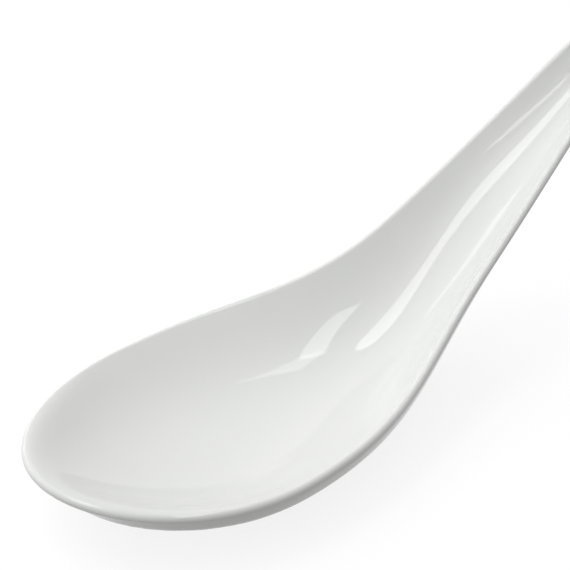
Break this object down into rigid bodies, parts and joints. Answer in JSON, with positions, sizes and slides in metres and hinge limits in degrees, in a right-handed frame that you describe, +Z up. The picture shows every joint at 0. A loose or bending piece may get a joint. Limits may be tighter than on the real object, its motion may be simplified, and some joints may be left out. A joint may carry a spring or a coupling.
{
  "type": "chinese soup spoon",
  "caption": "White porcelain soup spoon: a boat-shaped bowl on a flat foot, with a rounded lip that runs up into a channelled handle.",
  "frame": {"origin": "middle of the flat foot under the bowl, on the table", "axes": "+X from the bowl's tip towards the handle's end, +Z up out of the bowl"},
  "size_m": [0.1194, 0.0444, 0.048],
  "materials": {
    "clay": "bare fired porcelain, matt",
    "glaze": "clear gloss glaze over white porcelain"
  },
  "bodies": {
    "root": {"porcelain_body": "clay", "glaze_coat": "glaze"}
  },
  "joints": []
}
